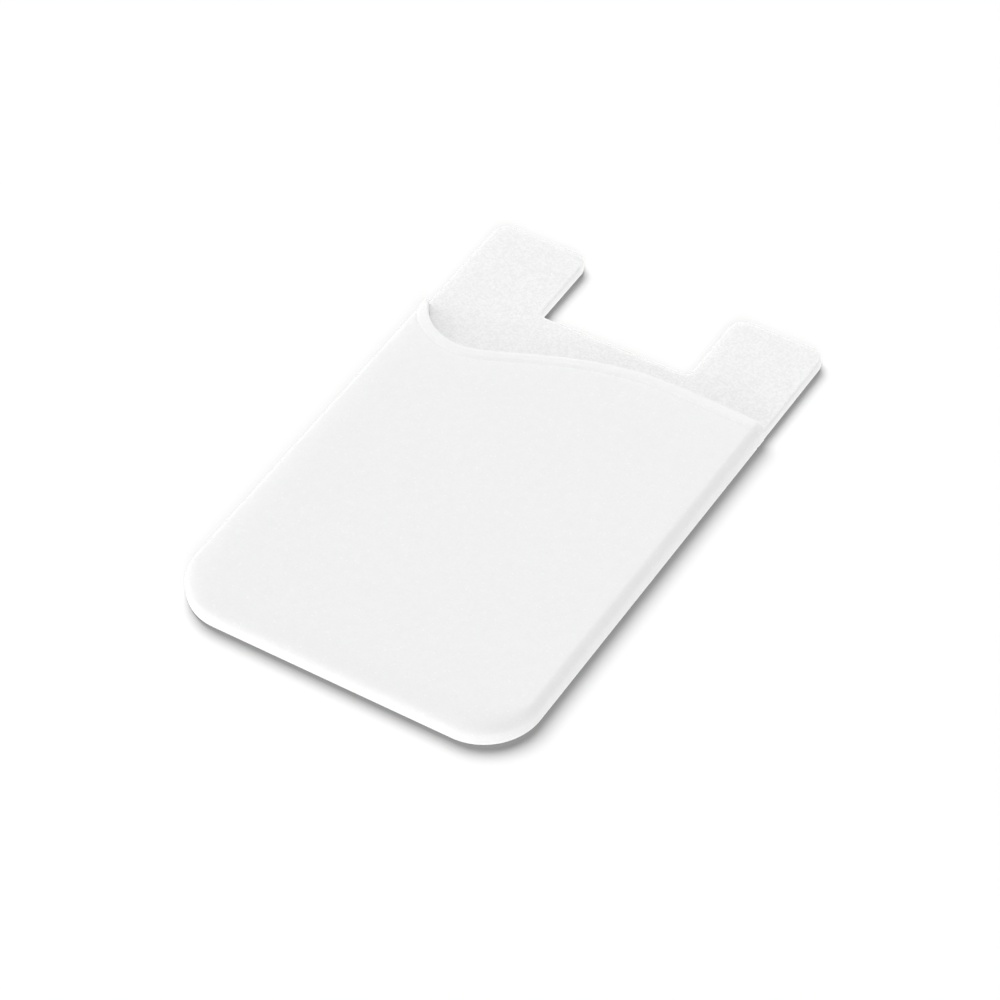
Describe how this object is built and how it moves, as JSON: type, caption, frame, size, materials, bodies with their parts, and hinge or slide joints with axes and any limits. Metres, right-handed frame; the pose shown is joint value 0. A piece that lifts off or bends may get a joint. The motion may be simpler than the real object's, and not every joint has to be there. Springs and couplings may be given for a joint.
{
  "type": "phone card holder",
  "caption": "Soft silicone card pocket with a wavy rolled mouth, back tabs and a finger notch, stuck by an adhesive back to the rear of a phone",
  "frame": {"origin": "Under the middle of the holder, on the lower face of the release liner", "axes": "X runs across the card, Y from the pocket's closed end to the tabs, and Z out of the front face"},
  "size_m": [0.0568, 0.0871, 0.0044],
  "materials": {
    "white_silicone": "matte moulded silicone with a fine spark-eroded grain",
    "clear_adhesive": "smooth clear double-sided tape",
    "liner_paper": "satin coated release paper"
  },
  "bodies": {
    "root": {"silicone_holder": "white_silicone", "adhesive_sheet": "clear_adhesive", "release_liner": "liner_paper"}
  },
  "joints": []
}
